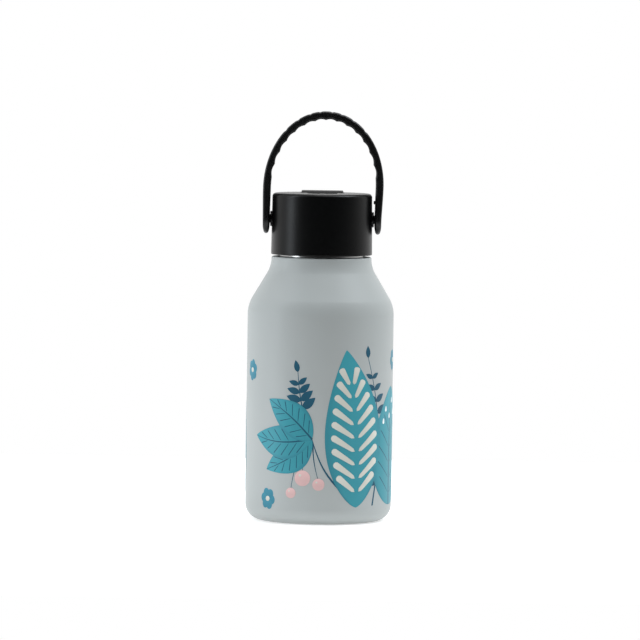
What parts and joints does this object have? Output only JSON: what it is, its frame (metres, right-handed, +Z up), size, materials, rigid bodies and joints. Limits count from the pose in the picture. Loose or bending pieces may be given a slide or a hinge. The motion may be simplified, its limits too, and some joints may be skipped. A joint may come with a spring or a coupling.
{
  "type": "water bottle",
  "caption": "Small double-walled steel bottle with a screw lid, a folding drinking spout with straw, and a swinging carry strap.",
  "frame": {"origin": "centre of the foot, on the surface the bottle stands on", "axes": "+Z up along the bottle's axis, +X along the strap's pivots, -Y to the front, where the folded spout points"},
  "size_m": [0.073, 0.073, 0.2042],
  "materials": {
    "coated_steel": "matt grey-blue powder coat with a printed pattern",
    "flask_steel": "drawn stainless steel",
    "cover_steel": "brushed stainless steel",
    "solder": "melted sealing bead",
    "getter_metal": "pressed powder pill in a steel cup",
    "lid_plastic": "fine moulded grain",
    "liner_plastic": "plain moulded",
    "silicone": "translucent white",
    "straw_plastic": "milky translucent",
    "mouthpiece_silicone": "soft matt black",
    "strap_rubber": "soft-touch black"
  },
  "bodies": {
    "bottle": {"outer_shell": "coated_steel", "inner_flask": "flask_steel", "vacuum_base": "flask_steel", "base_cover": "cover_steel", "seal_bead": "solder", "getter": "getter_metal"},
    "gasket": {"lid_gasket": "silicone"},
    "lid": {"lid_shell": "lid_plastic", "lid_liner": "liner_plastic", "spout_seal": "silicone", "vent_valve": "silicone", "straw": "straw_plastic", "strap_stud_left": "lid_plastic", "strap_stud_right": "lid_plastic"},
    "spout": {"spout": "lid_plastic", "mouthpiece": "mouthpiece_silicone"},
    "strap": {"strap": "strap_rubber"}
  },
  "joints": [
    {"name": "lid_rise", "type": "slide", "parent": "bottle", "child": "gasket", "axis": [0, 0, 1], "range_m": [0, 0.006]},
    {"name": "lid_turn", "type": "hinge", "parent": "gasket", "child": "lid", "pos_m": [0, 0, 0.1327], "axis": [0, 0, 1], "range_deg": [0, 540]},
    {"name": "spout_flip", "type": "hinge", "parent": "lid", "child": "spout", "pos_m": [0, 0.009, 0.15827], "axis": [-1, 0, 0], "range_deg": [0, 90]},
    {"name": "strap_swing", "type": "hinge", "parent": "lid", "child": "strap", "pos_m": [0, 0, 0.15037], "axis": [1, 0, 0], "range_deg": [-130, 130]}
  ],
  "couplings": [
    {"joint": "lid_rise", "follows": "lid_turn", "m_per_rad": 0.00063662}
  ]
}
